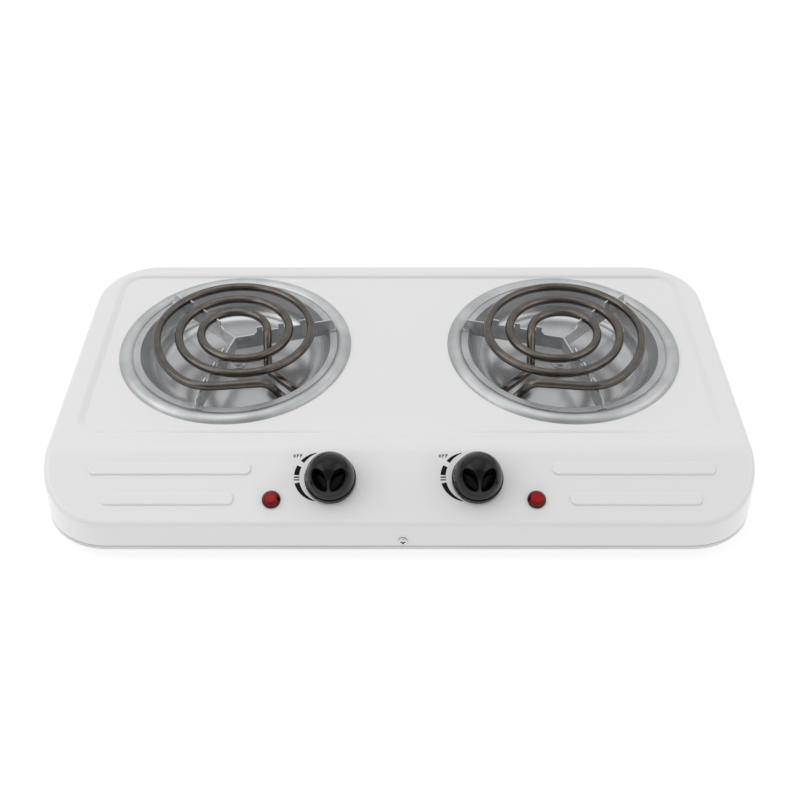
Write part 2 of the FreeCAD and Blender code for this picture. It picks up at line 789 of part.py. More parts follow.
def knob():
    """Half an egg on a low flange, with two leaf-shaped finger scoops that leave a tapering grip."""
    body = knob_radius - knob_waist
    flange_face = knob_gap + knob_flange
    middle = Vector(0, 0, flange_face)
    egg = Part.Ellipse(Vector(0, 0, knob_height), middle + Vector(body, 0, 0), middle)
    side = upright([(0, knob_height), (0, knob_gap), (knob_radius, knob_gap), (knob_radius, flange_face),
                    (body, flange_face)])
    edges = bent_edges(side, [0, 0, 0, knob_edge, 0])
    edges.append(Part.ArcOfEllipse(egg, 0, math.pi / 2).toShape())
    solid = Part.Face(Part.Wire(edges)).revolve(origin, upward, 360)
    solid = solid.cut([finger_scoop(), mirrored(finger_scoop())])
    lips = []
    for face in solid.Faces:
        if face.BoundBox.ZMax > knob_height - end_gap:
            for wire in face.Wires:
                if not wire.isSame(face.OuterWire):
                    lips += wire.Edges
    solid = solid.makeFillet(scoop_lip, lips)
    hollow_top = knob_gap + knob_hollow
    cuts = [rod(knob_cavity, 0, hollow_top).cut(rod(boss_radius, 0, hollow_top)),
            shaft_form(running_gap, shaft_rise + end_gap)]
    return solid.cut(cuts)


def thermostat_shaft():
    collar_top = -bush_length - end_gap
    collar_low = collar_top - collar_sheet
    return fused([shaft_form(0, shaft_rise), rod(shaft_radius, collar_top, 0),
                  rod(collar_radius, collar_low, collar_top),
                  rod(shaft_tip, end_gap - leaf_depths[0], collar_low)])


def thermostat_frame():
    """Plate behind the panel with the bush that carries the shaft."""
    plate = slab(-frame_width / 2, frame_width / 2, -frame_down, frame_up,
                 -shell_sheet - frame_sheet, -shell_sheet)
    bush = rod(bush_radius, -bush_length, 0)
    holes = [rod(shaft_radius + running_gap, -past, past)]
    for x, y in ((-frame_screw_x, 0), (frame_screw_x, 0), (0, -stack_down)):
        holes.append(rod(screw_hole, -past, past, x, y))
    return plate.fuse(bush).cut(holes)


def thermostat_stack():
    """Ceramic rings between the frame, the two leaves and the rivet head."""
    tops = [shell_sheet + frame_sheet] + [depth + leaf_sheet for depth in leaf_depths]
    ends = list(leaf_depths) + [stack_end]
    hole = rod(screw_hole, -stack_end, 0)
    rings = [rod(stack_radius, -end, -top).cut(hole) for top, end in zip(tops, ends)]
    return [moved_to(ring, Vector(0, -stack_down, 0)) for ring in rings]


def thermostat_leaves():
    """Two contact leaves; the terminal of each runs back along one side."""
    leaves = []
    heel = -stack_down - stack_radius
    for depth, side in zip(leaf_depths, (-1, 1)):
        low, high = -depth - leaf_sheet, -depth
        near, outer = sorted((side * (tab_side - tab_breadth / 2), side * (tab_side + tab_breadth / 2)))
        spring = slab(-leaf_width / 2, leaf_width / 2, heel, bush_radius, low, high)
        arm = slab(min(near, 0), max(outer, 0), heel, heel + tab_breadth, low, high)
        tab = slab(near, outer, heel, tab_reach, low, high)
        leaves.append(fused([spring, arm, tab]).cut(rod(screw_hole, low, high, 0, -stack_down)))
    return leaves


def thermostat_rivet():
    head = rod(screw_head, -stack_end - leaf_sheet, -stack_end, 0, -stack_down)
    return head.fuse(rod(screw_radius, -stack_end, -shell_sheet, 0, -stack_down))


def lamp_lens():
    """Domed lens with a hollow stem through the panel."""
    outline = [(0, 0), (lamp_radius, 0), (lamp_radius, lamp_rim), (lamp_crown, lamp_rise), (0, lamp_rise)]
    dome = turned(outline, [0, 0, lamp_edge, lamp_dome, 0])
    bore = rod(lamp_stem - lamp_wall, -lamp_depth, lamp_rise - lamp_dome)
    return fused([dome, rod(lamp_stem, -lamp_depth, 0)]).cut(bore)


def lamp_bulb():
    radius = lamp_stem - lamp_wall - bulb_gap
    top = lamp_rise - lamp_dome - bulb_gap
    outline = [(0, -bulb_depth), (radius, -bulb_depth), (radius, top), (0, top)]
    return turned(outline, [0, bulb_edge, bulb_round, 0])


def lamp_clip():
    washer = rod(clip_radius, -shell_sheet - clip_sheet, -shell_sheet)
    return washer.cut(rod(lamp_stem + running_gap, -lamp_depth, 0))


# Back and inside


def cord_gland():
    """Rubber bush with a collar and a groove that grips the edge of its hole in the back wall."""
    inner_lip = -shell_sheet - gland_lip
    sleeve_end = -shell_sheet - gland_sleeve
    return turned([(gland_bore, gland_collar), (gland_flange - gland_taper, gland_collar), (gland_flange, 0),
                   (gland_neck, 0), (gland_neck, -shell_sheet), (gland_flange, -shell_sheet),
                   (gland_flange, inner_lip), (gland_neck, inner_lip), (gland_neck, sleeve_end),
                   (gland_room, sleeve_end), (gland_room, gland_throat), (gland_bore, gland_throat)])


def terminal_block():
    top = base_floor + block_height
    y0, y1 = block_y - block_width / 2, block_y + block_width / 2
    cuts = [rod(bolt_hole, base_floor, top, 0, block_y)]
    for x in (-pole_pitch, pole_pitch):
        cuts.append(rod(pole_well, base_floor + pole_height, top, x, block_y))
    for x in (-pole_pitch / 2, pole_pitch / 2):
        groove = (x - block_groove / 2, x + block_groove / 2)
        cuts.append(slab(*groove, y0, y1, top - block_groove_depth, top))
    return slab(-block_length / 2, block_length / 2, y0, y1, base_floor, top).cut(cuts)


def block_screw():
    screw = cross_screw(bolt_head, bolt_rise, bolt_radius, block_height + base_sheet)
    return moved_to(screw, Vector(0, block_y, base_floor + block_height))


def earth_screw():
    """Screw with a ring tag whose barrel takes the earth lead."""
    ring = rod(tag_radius, 0, tag_sheet)
    heel = Vector(bolt_head + end_gap, 0, bolt_radius + tag_lift)
    barrel = Part.makeCylinder(bolt_radius, tag_barrel, heel, Vector(1, 0, 0))
    screw = cross_screw(bolt_head, bolt_rise, bolt_radius, tag_sheet + base_sheet)
    tagged = fused([ring, barrel, moved_to(screw, Vector(0, 0, tag_sheet))])
    return moved_to(tagged, Vector(earth_x, earth_y, base_floor))


def lead(points, radius=lead_radius):
    """Flexible wire along a route, each bend as wide as its runs allow."""
    radii = [0]
    for before, corner, after in zip(points, points[1:], points[2:]):
        half = (corner - before).getAngle(after - corner) / 2
        radii.append(bend_share * min((corner - before).Length, (after - corner).Length) / math.tan(half))
    print("lead: bends of %s mm" % ", ".join("%.1f" % size for size in radii[1:]))
    return swept(Part.Wire(bent_edges(points, radii + [0])), radius)


def inward(side):
    return 1 if side == "left" else -1


def pin_point(side, sideways, beyond):
    """Point on the line of a coil pin, so far beyond its end."""
    point = along_exit(end_reach + pin_length + beyond, sideways, -exit_drop)
    return burner_places[side] + Vector(point.x * inward(side), point.y, point.z)


def tab_point(side, leaf, beyond):
    """Point on the line of a thermostat terminal, so many pole pitches beyond it."""
    x = (-tab_side if leaf == 0 else tab_side) * inward(side)
    y = tab_reach + beyond * pole_pitch
    return knob_places[side].multVec(Vector(x, y, -leaf_depths[leaf] - leaf_sheet / 2))


def pole_point(x, ahead):
    """Point ahead of the terminal block on the line of a wire entry, in pole pitches."""
    return Vector(x, block_y - block_width / 2 - ahead * pole_pitch, base_floor + pole_height)


def routed(across, along, above):
    """Point of a lead: pole pitches across, share of the way to the block, pole heights up."""
    y = bend_y + along * (block_y - bend_y)
    return Vector(across * pole_pitch, y, base_floor + above * pole_height)


def supply_leads():
    """From the live pole forward along the floor to each thermostat."""
    left = [pole_point(-wire_pair, 0), pole_point(-wire_pair, 1.4), routed(-0.5, 0.77, 0.728),
            routed(-1.2, 0.608, 0.511), routed(-2.4, 0.44, 0.543), routed(-3.15, 0.262, 1.0),
            routed(-3.55, 0.1255, 2.304), tab_point("left", 1, 1.1), tab_point("left", 1, 0)]
    right = [pole_point(wire_pair, 0), pole_point(wire_pair, 1.4), routed(0.45, 0.77, 0.565),
             routed(1.1, 0.608, 0.304), routed(2.1, 0.44, 0.326), routed(3.2, 0.262, 0.783),
             routed(4.0, 0.1255, 2.196), tab_point("right", 1, 1.1), tab_point("right", 1, 0)]
    return [lead(left), lead(right)]


def coil_leads():
    """From each thermostat to the outer pin of its coil."""
    leads = []
    for side in ("left", "right"):
        leads.append(lead([pin_point(side, outer_exit, 0), pin_point(side, outer_exit, 1.05 * pin_length),
                           tab_point(side, 0, 0.7), tab_point(side, 0, 0)]))
    return leads


def return_leads():
    """From the inner pin of each coil back to the neutral pole."""
    left_pole, right_pole = pole_pitch - wire_pair, pole_pitch + wire_pair
    away = 0.75 * pin_length
    left = [pin_point("left", inner_exit, 0), pin_point("left", inner_exit, away),
            routed(-2.2, 0.1675, 3.174), routed(-1.1, 0.241, 2.196), routed(-0.4, 0.3876, 1.761),
            routed(0.2, 0.5763, 1.598), routed(0.7, 0.744, 1.326),
            pole_point(left_pole, 1.2), pole_point(left_pole, 0)]
    right = [pin_point("right", inner_exit, 0), pin_point("right", inner_exit, away),
             routed(2.5, 0.1675, 3.174), routed(1.7, 0.241, 2.304), routed(1.4, 0.3876, 1.761),
             routed(1.3, 0.5763, 1.543), routed(1.25, 0.744, 1.217),
             pole_point(right_pole, 1.2), pole_point(right_pole, 0)]
    return [lead(left), lead(right)]


def lamp_leads():
    """From each lamp to the switched terminal of its thermostat and to the return pin of its coil."""
    leads = []
    apart = thin_lead + bulb_gap
    for side in ("left", "right"):
        lamp = lamp_places[side]
        step = inward(side)
        x = lamp.Base.x / pole_pitch
        starts = []
        for local_x in (step * apart, -step * apart):
            ends = (bulb_depth, bulb_depth + 0.9 * pole_pitch)
            starts.append([lamp.multVec(Vector(local_x, 0, -depth)) for depth in ends])
        tab_edge = Vector(-step * (tab_side + tab_breadth / 2), tab_reach - 1.33 * tab_breadth,
                          -leaf_depths[0] - leaf_sheet / 2)
        edge = knob_places[side].multVec(tab_edge)
        beside = edge - Vector(0.9 * step * pole_pitch, 0, 0)
        switched = starts[0] + [routed(x + 0.5 * step, -0.079, 0.457),
                                routed(x + 1.5 * step, -0.058, 1.543), beside, edge]
        pin = pin_point(side, inner_exit, -0.3 * pin_length) - Vector(0, 0, pin_radius)
        under = pin - Vector(0, 0, 1.1 * pole_pitch)
        towards = under - Vector(0.3 * step * pole_pitch, 0.5 * pole_pitch, 0.75 * pole_pitch)
        neutral = starts[1] + [routed(x + 0.2 * step, -0.021, 0.293), routed(x + 1.8 * step, 0.099, 0.402),
                               towards, under, pin]
        leads += [lead(switched, thin_lead), lead(neutral, thin_lead)]
    return leads


def earth_lead():
    tag = Vector(earth_x + bolt_head + end_gap + tag_barrel, earth_y, base_floor + bolt_radius + tag_lift)
    return lead([pole_point(-pole_pitch, 0), pole_point(-pole_pitch, 1.1), routed(-1.0, 0.83, 0.511),
                 tag + Vector(tag_barrel, 0, 0), tag])


# Assembly


nodes = {"top_shell": [top_shell()], "base_plate": [base_plate()]}
for name, place in foot_places.items():
    nodes["foot_" + name] = [moved_to(rubber_foot(), place)]
nodes["foot_screws"] = [moved_to(foot_screw(), place) for place in foot_places.values()]
held_sheets = shell_sheet + flange_clearance + base_sheet
shell_screw = cross_screw(screw_head, screw_rise, screw_radius, held_sheets + screw_spare)
nodes["shell_screws"] = [placed(shell_screw, place) for place in shell_screw_places]

burner_parts = {"trim_ring": [trim_ring()], "drip_bowl": [drip_bowl()], "heating_coil": [heating_coil()],
                "coil_support": [coil_support()], "terminal_pins": terminal_pins(),
                "terminal_beads": terminal_beads(), "terminal_plate": [terminal_plate()],
                "bowl_bracket": [bowl_bracket()], "bowl_screw": [bowl_screw()], "bowl_nut": [bowl_nut()]}
for side, centre in burner_places.items():
    for name, shapes in burner_parts.items():
        handed = shapes if side == "left" else [mirrored(shape) for shape in shapes]
        nodes[side + "_" + name] = [moved_to(shape, centre) for shape in handed]

control_parts = {"knob": [knob()], "thermostat_shaft": [thermostat_shaft()],
                 "thermostat_frame": [thermostat_frame()], "thermostat_stack": thermostat_stack(),
                 "thermostat_rivet": [thermostat_rivet()]}
contact_leaves = {"left": thermostat_leaves(), "right": [mirrored(leaf) for leaf in thermostat_leaves()]}
frame_screw = cross_screw(screw_head, screw_rise, screw_radius, shell_sheet + frame_sheet + screw_spare)
nodes["thermostat_screws"] = []
for side, place in knob_places.items():
    for name, shapes in control_parts.items():
        nodes[side + "_" + name] = [placed(shape, place) for shape in shapes]
    nodes[side + "_thermostat_leaves"] = [placed(leaf, place) for leaf in contact_leaves[side]]
    for x in (-frame_screw_x, frame_screw_x):
        nodes["thermostat_screws"].append(placed(moved_to(frame_screw, Vector(x, 0, 0)), place))
for side, place in lamp_places.items():
    nodes[side + "_lamp_lens"] = [placed(lamp_lens(), place)]
    nodes[side + "_lamp_bulb"] = [placed(lamp_bulb(), place)]
nodes["lamp_clips"] = [placed(lamp_clip(), place) for place in lamp_places.values()]

nodes["cord_gland"] = [placed(cord_gland(), gland_place)]
nodes["terminal_block"] = [terminal_block()]
nodes["block_screw"] = [block_screw()]
nodes["earth_screw"] = [earth_screw()]
nodes["supply_leads"] = supply_leads()
nodes["coil_leads"] = coil_leads()
nodes["return_leads"] = return_leads()
nodes["lamp_leads"] = lamp_leads()
nodes["earth_lead"] = [earth_lead()]

os.makedirs("parts", exist_ok=True)
for name, shapes in nodes.items():
    solids = [solid for shape in shapes for solid in shape.Solids]
    print("%-24s %d solid(s), valid %s" % (name, len(solids), all(solid.isValid() for solid in solids)))
    shape = solids[0] if len(solids) == 1 else Part.makeCompound(solids)
    shape.exportStep("parts/" + name + ".step")
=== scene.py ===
import json
import math

import bmesh
import bpy
from mathutils import Matrix, Vector


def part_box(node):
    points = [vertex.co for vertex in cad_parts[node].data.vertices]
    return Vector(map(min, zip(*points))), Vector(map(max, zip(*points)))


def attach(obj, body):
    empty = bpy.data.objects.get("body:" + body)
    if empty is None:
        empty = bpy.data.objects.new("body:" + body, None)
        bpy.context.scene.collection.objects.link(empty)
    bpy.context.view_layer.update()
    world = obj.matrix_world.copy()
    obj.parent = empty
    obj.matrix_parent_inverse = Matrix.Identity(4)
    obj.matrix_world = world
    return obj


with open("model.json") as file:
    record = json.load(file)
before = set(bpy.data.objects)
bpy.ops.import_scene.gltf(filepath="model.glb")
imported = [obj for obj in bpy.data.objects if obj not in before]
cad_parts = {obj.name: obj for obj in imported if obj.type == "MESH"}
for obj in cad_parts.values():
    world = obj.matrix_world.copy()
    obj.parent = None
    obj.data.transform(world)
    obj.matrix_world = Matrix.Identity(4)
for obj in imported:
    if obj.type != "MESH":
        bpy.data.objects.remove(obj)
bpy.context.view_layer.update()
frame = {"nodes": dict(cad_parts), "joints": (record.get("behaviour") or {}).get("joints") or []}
scene = bpy.context.scene
MM = 0.001

# Most values of a noise texture lie between these two.
NOISE_LOW = 0.3
NOISE_HIGH = 0.7

# Sockets of the Mix node when it mixes colours.
MIX_FIRST = 6
MIX_SECOND = 7
MIX_RESULT = 2

# Middle of each burner, from the ring that lies around it.
burner_middle = {}
for side in ("left", "right"):
    ring_low, ring_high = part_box(side + "_trim_ring")
    burner_middle[side] = (ring_low + ring_high) / 2


def add_node(tree, kind, inputs=None, **settings):
    """A new node with its settings, each input linked to a socket or set to a value."""
    node = tree.nodes.new(kind)
    for setting, value in settings.items():
        setattr(node, setting, value)
    for socket, value in (inputs or {}).items():
        if isinstance(value, bpy.types.NodeSocket):
            tree.links.new(value, node.inputs[socket])
        else:
            node.inputs[socket].default_value = value
    return node


def soft_step(tree, value, start, end, low, high):
    """A number that goes softly from low to high while value goes from start to end."""
    inputs = {"Value": value, "From Min": start, "From Max": end, "To Min": low, "To Max": high}
    node = add_node(tree, "ShaderNodeMapRange", inputs, interpolation_type="SMOOTHSTEP")
    return node.outputs["Result"]


class Finish:
    """A principled material whose colour, roughness and relief come from procedural textures."""

    def __init__(self, name, **sockets):
        self.material = bpy.data.materials.new(name)
        self.material.use_nodes = True
        self.tree = self.material.node_tree
        self.shader = self.tree.nodes["Principled BSDF"]
        for socket, value in sockets.items():
            self.shader.inputs[socket.replace("_", " ")].default_value = value
        self.here = self.add("ShaderNodeTexCoord").outputs["Object"]

    def add(self, kind, inputs=None, **settings):
        return add_node(self.tree, kind, inputs, **settings)

    def feed(self, socket, value):
        self.tree.links.new(value, self.shader.inputs[socket])

    def stretched(self, scale, move):
        """The object's own coordinates, scaled along each axis and moved."""
        inputs = {"Vector": self.here, "Scale": scale, "Location": move}
        return self.add("ShaderNodeMapping", inputs).outputs["Vector"]

    def length(self, vector):
        return self.add("ShaderNodeVectorMath", {0: vector}, operation="LENGTH").outputs["Value"]

    def radius(self, middle):
        """Distance from an upright axis through middle."""
        return self.length(self.stretched((1.0, 1.0, 0.0), (-middle.x, -middle.y, 0.0)))

    def noise(self, scale, detail=3.0):
        inputs = {"Vector": self.here, "Scale": scale, "Detail": detail}
        return self.add("ShaderNodeTexNoise", inputs).outputs["Fac"]

    def cells(self, scale):
        inputs = {"Vector": self.here, "Scale": scale}
        return self.add("ShaderNodeTexVoronoi", inputs).outputs["Color"]

    def spun(self, middle, scale):
        """Fine rings about an upright axis through middle, as a spinning tool leaves them."""
        inputs = {"W": self.radius(middle), "Scale": scale, "Detail": 2.0}
        return self.add("ShaderNodeTexNoise", inputs, noise_dimensions="1D").outputs["Fac"]

    def color(self, factor, first, second, start=NOISE_LOW, end=NOISE_HIGH):
        """Base colour that wanders between two colours with a texture value."""
        share = soft_step(self.tree, factor, start, end, low=0.0, high=1.0)
        inputs = {"Factor": share, MIX_FIRST: (*first, 1.0), MIX_SECOND: (*second, 1.0)}
        mix = self.add("ShaderNodeMix", inputs, data_type="RGBA")
        self.feed("Base Color", mix.outputs[MIX_RESULT])

    def gloss(self, factor, low, high, start=NOISE_LOW, end=NOISE_HIGH):
        """Roughness that wanders between two values with a texture value."""
        self.feed("Roughness", soft_step(self.tree, factor, start, end, low, high))

    def relief(self, height, strength, depth):
        """Bump from a texture value, depth in millimetres."""
        inputs = {"Height": height, "Strength": strength, "Distance": depth * MM}
        self.feed("Normal", self.add("ShaderNodeBump", inputs).outputs["Normal"])


def coated(name, first, second, roughness, peel):
    """Fired or sprayed coat: faint orange peel, small changes of tone and gloss."""
    finish = Finish(name, Coat_Weight=0.25, Coat_Roughness=0.08)
    finish.color(finish.noise(scale=14.0, detail=1.0), first, second)
    finish.gloss(finish.noise(scale=20.0, detail=1.0), roughness, roughness + 0.01)
    finish.relief(finish.noise(scale=160.0, detail=0.0), strength=peel, depth=0.05)
    return finish.material


def spun_metal(name, middle, first, second, roughness, groove):
    """Bright sheet spun about the burner's axis, with fine rings and soft cloudy wear."""
    finish = Finish(name, Metallic=1.0)
    finish.color(finish.noise(scale=38.0, detail=5.0), first, second)
    finish.gloss(finish.spun(middle, scale=900.0), roughness, roughness + 0.05)
    finish.relief(finish.spun(middle, scale=1500.0), strength=groove, depth=0.02)
    return finish.material


def bowl_metal(name, middle, first, second, edge, blend):
    """Bright drawn bowl, polished inside and satin on its flat rim beyond the edge."""
    finish = Finish(name, Metallic=1.0)
    finish.color(finish.noise(scale=38.0, detail=5.0), first, second)
    finish.gloss(finish.radius(middle), low=0.24, high=0.6, start=edge - blend, end=edge + blend)
    finish.relief(finish.spun(middle, scale=1500.0), strength=0.006, depth=0.02)
    return finish.material


def plated(name, first, second, roughness, scale=260.0):
    """Plated or galvanised metal with small crystals in its surface."""
    finish = Finish(name, Metallic=1.0)
    finish.color(finish.cells(scale), first, second, start=0.0, end=1.0)
    finish.gloss(finish.noise(scale * 2.0), roughness, roughness + 0.16)
    finish.relief(finish.noise(scale * 4.0), strength=0.15, depth=0.04)
    return finish.material


def recess_shaded(name, dark, bright, roughness):
    """Plated screw heads with painted shade in their cross recess."""
    finish = Finish(name, Metallic=1.0)
    # Painted shade: ambient occlusion darkens the colour in the cross recess, where shade falls.
    painted_shade_mask = finish.add("ShaderNodeAmbientOcclusion", {"Distance": 0.9 * MM}).outputs["AO"]
    finish.color(painted_shade_mask, dark, bright, start=0.45, end=0.9)
    finish.gloss(finish.noise(scale=900.0), roughness, roughness + 0.16)
    finish.relief(finish.noise(scale=1800.0), strength=0.1, depth=0.03)
    return finish.material


def oxidised(name, first, second):
    """Coil sheath: brown-grey oxide with slight changes of tone and gloss."""
    finish = Finish(name, Metallic=0.92)
    finish.color(finish.noise(scale=120.0, detail=6.0), first, second)
    finish.gloss(finish.noise(scale=300.0, detail=4.0), low=0.15, high=0.19)
    finish.relief(finish.noise(scale=1500.0), strength=0.04, depth=0.03)
    return finish.material


def moulded(name, first, second, roughness, grain, specular=0.5):
    """Moulded plastic or rubber with a fine grain."""
    finish = Finish(name, Specular_IOR_Level=specular)
    finish.color(finish.noise(scale=90.0), first, second)
    finish.gloss(finish.noise(scale=300.0, detail=4.0), roughness, roughness + 0.12)
    finish.relief(finish.noise(scale=2200.0, detail=2.0), strength=grain, depth=0.03)
    return finish.material


def ceramic_body(name, first, second):
    """Unglazed ceramic with a fine rough grain."""
    finish = Finish(name)
    finish.color(finish.noise(scale=400.0, detail=6.0), first, second)
    finish.gloss(finish.noise(scale=800.0), low=0.5, high=0.75)
    finish.relief(finish.noise(scale=2500.0, detail=4.0), strength=0.3, depth=0.05)
    return finish.material


def lens_plastic(name, middle, axis, radius, bright, rim_shade):
    """Clear red plastic with painted shade near the rim: the red is painted darker towards the rim,
    standing in for the longer path of light through the plastic there.
    """
    finish = Finish(name, Transmission_Weight=0.35, IOR=1.49, Specular_IOR_Level=0.1)
    away = finish.stretched((1.0, 1.0, 1.0), tuple(-middle))
    turned = finish.add("ShaderNodeVectorMath", {0: away, 1: axis}, operation="CROSS_PRODUCT")
    reach = finish.length(turned.outputs["Vector"])
    # Painted shade: the base colour darkens from the middle towards the rim.
    finish.color(reach, bright, rim_shade, start=0.3 * radius, end=0.95 * radius)
    finish.gloss(finish.noise(scale=700.0), low=0.04, high=0.1)
    finish.relief(finish.noise(scale=900.0, detail=1.0), strength=0.06, depth=0.05)
    return finish.material


def clear_glass(name, first, second):
    """Clear glass of a bulb."""
    finish = Finish(name, Transmission_Weight=1.0, IOR=1.47)
    finish.color(finish.noise(scale=300.0), first, second)
    finish.gloss(finish.noise(scale=900.0), low=0.02, high=0.08)
    finish.relief(finish.noise(scale=700.0), strength=0.05, depth=0.03)
    return finish.material


def sleeving(name, first, second):
    """Braided glass-fibre sleeve."""
    finish = Finish(name)
    finish.color(finish.noise(scale=1800.0, detail=2.0), first, second)
    finish.gloss(finish.noise(scale=900.0), low=0.6, high=0.85)
    finish.relief(finish.noise(scale=2600.0, detail=2.0), strength=0.5, depth=0.1)
    return finish.material


def ink(name, first, second):
    """Matt printing ink."""
    finish = Finish(name, Specular_IOR_Level=0.15)
    finish.color(finish.noise(scale=900.0), first, second)
    finish.gloss(finish.noise(scale=1200.0), low=0.5, high=0.7)
    finish.relief(finish.noise(scale=2500.0), strength=0.1, depth=0.02)
    return finish.material


def grey(level):
    return (level, level, level)


# Finishes by slot in the record, and after that by piece where a piece has one of its own.
finishes = {
    "enamel": coated("enamel_white", grey(0.805), grey(0.811), roughness=0.26, peel=0.01),
    "base_paint": coated("base_paint_grey", grey(0.66), (0.7, 0.7, 0.695),
                         roughness=0.4, peel=0.15),
    "rubber": moulded("foot_rubber", grey(0.022), (0.035, 0.034, 0.033), roughness=0.6, grain=0.3),
    "zinc": plated("zinc_plate", (0.55, 0.56, 0.57), (0.72, 0.73, 0.74), roughness=0.26),
    "shell_screws": recess_shaded("screw_zinc", grey(0.02), (0.7, 0.71, 0.72), roughness=0.26),
    "coil_sheath": oxidised("coil_oxide", (0.115, 0.098, 0.084), (0.155, 0.135, 0.118)),
    "support_steel": plated("galvanised", (0.54, 0.55, 0.56), (0.7, 0.71, 0.72),
                            roughness=0.4, scale=180.0),
    "pin_steel": plated("plain_steel", grey(0.36), grey(0.5), roughness=0.3),
    "ceramic": ceramic_body("ceramic_cream", (0.7, 0.67, 0.61), (0.8, 0.78, 0.73)),
    "contact_brass": plated("contact_brass", (0.66, 0.48, 0.2), (0.78, 0.6, 0.3), roughness=0.3),
    "shaft_brass": plated("shaft_brass", (0.6, 0.45, 0.2), (0.7, 0.55, 0.28), roughness=0.28),
    "knob_plastic": moulded("knob_black", grey(0.003), grey(0.005),
                            roughness=0.15, grain=0.05, specular=0.28),
    "bulb_glass": clear_glass("bulb_glass", (0.93, 0.93, 0.92), (0.98, 0.98, 0.97)),
    "wire_live": sleeving("sleeve_natural", (0.55, 0.5, 0.42), (0.78, 0.74, 0.66)),
    "wire_neutral": sleeving("sleeve_blue", (0.06, 0.12, 0.3), (0.14, 0.24, 0.48)),
    "wire_earth": sleeving("sleeve_green", (0.12, 0.3, 0.05), (0.26, 0.5, 0.14)),
}

# Radius where the bowl's inside meets its flat rim, and half the width of the change there.
bowl_edge = 65.0 * MM
bowl_blend = 1.0 * MM
for side, middle in burner_middle.items():
    finishes[side + "_trim_ring"] = spun_metal(
        side + "_ring", middle, (0.47, 0.49, 0.495), (0.6, 0.62, 0.625),
        roughness=0.42, groove=0.08)
    finishes[side + "_drip_bowl"] = bowl_metal(
        side + "_bowl", middle, (0.48, 0.495, 0.505), (0.57, 0.585, 0.595),
        bowl_edge, bowl_blend)

panel_out = Vector(frame["joints"][0]["axis"])
# Red of the lens middle, and the painted rim shade it darkens to.
lens_bright = (0.5, 0.002, 0.003)
lens_rim_shade = (0.1, 0.001, 0.001)
for side in ("left", "right"):
    lens_low, lens_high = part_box(side + "_lamp_lens")
    lens_middle = (lens_low + lens_high) / 2
    lens_radius = (lens_high.x - lens_low.x) / 2
    finishes[side + "_lamp_lens"] = lens_plastic(
        side + "_lens", lens_middle, panel_out, lens_radius, lens_bright, lens_rim_shade)

# Every CAD piece takes the finish of its own name, or else of its slot in the record.
for name, piece in frame["nodes"].items():
    for place in piece.material_slots:
        slot_name = place.material.name.split(".")[0]
        place.material = finishes.get(name) or finishes[slot_name]

# The print round each knob, in millimetres and degrees from the knob's axis on the panel.
# The ink is a thin layer between two heights.
ink_low = 0.01
ink_high = 0.05
# The scale is a crescent between two circles, in three segments. The outer circle lies to the left.
scale_middle = (-2.7, 2.05)
scale_inner = 17.9
scale_outer = 17.15
scale_shift = 4.18
scale_thinnest = 0.1
scale_segments = ((113.0, 147.0), (157.5, 176.5), (192.5, 247.0))
# The word OFF stands above the scale.
off_corner = (-24.9, 15.5)
off_size = (5.9, 2.4)
off_stroke = 0.55
off_gap = 0.7
# Two plain bars stand beside the scale: x, y, width and height of each.
mark_bars = ((-24.0, 1.3, 3.6, 1.0), (-24.0, -0.5, 3.6, 0.9))


def print_place(joint):
    """Frame of the panel at a knob: x to the right, y up the slope, z out of the panel."""
    out = Vector(joint["axis"])
    right = Vector((1.0, 0.0, 0.0))
    up = out.cross(right)
    turn = Matrix((right, up, out)).transposed()
    return Matrix.Translation(Vector(joint["pos_m"])) @ turn.to_4x4()


def printed(name, outlines, place, material):
    """A thin layer of ink on the panel, from closed outlines in millimetres."""
    mesh = bpy.data.meshes.new(name)
    shape = bmesh.new()
    for outline in outlines:
        low = [shape.verts.new((x * MM, y * MM, ink_low * MM)) for x, y in outline]
        high = [shape.verts.new((x * MM, y * MM, ink_high * MM)) for x, y in outline]
        shape.faces.new(high)
        shape.faces.new(list(reversed(low)))
        for at in range(len(outline)):
            after = (at + 1) % len(outline)
            shape.faces.new((low[at], low[after], high[after], high[at]))
    shape.to_mesh(mesh)
    shape.free()
    mesh.materials.append(material)
    piece = bpy.data.objects.new(name, mesh)
    piece.matrix_world = place
    scene.collection.objects.link(piece)
    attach(piece, "housing")


def crescent(start, end):
    """Outline of one segment, from start to end in degrees about the scale's middle."""
    steps = 24
    inner = []
    outer = []
    for step in range(steps + 1):
        angle = math.radians(start + (end - start) * step / steps)
        away = -math.cos(angle) * scale_shift
        reach = away + math.sqrt(scale_outer ** 2 - (math.sin(angle) * scale_shift) ** 2)
        reach = max(reach, scale_inner + scale_thinnest)
        for points, radius in ((inner, scale_inner), (outer, reach)):
            x = scale_middle[0] + radius * math.cos(angle)
            y = scale_middle[1] + radius * math.sin(angle)
            points.append((x, y))
    return inner[::-1] + outer


def bar(x, y, width, height):
    """Outline of a plain bar, from its lower left corner."""
    return [(x, y), (x + width, y), (x + width, y + height), (x, y + height)]


def half_ring(x, y, width, height, stroke, start):
    """Half of an oval ring in a box, counter-clockwise from an angle in degrees."""
    steps = 10
    edges = []
    for inset in (0.0, stroke):
        points = []
        for step in range(steps + 1):
            angle = math.radians(start + 180.0 * step / steps)
            across = (width / 2 - inset) * math.cos(angle)
            along = (height / 2 - inset) * math.sin(angle)
            points.append((x + width / 2 + across, y + height / 2 + along))
        edges.append(points)
    return edges[0] + edges[1][::-1]


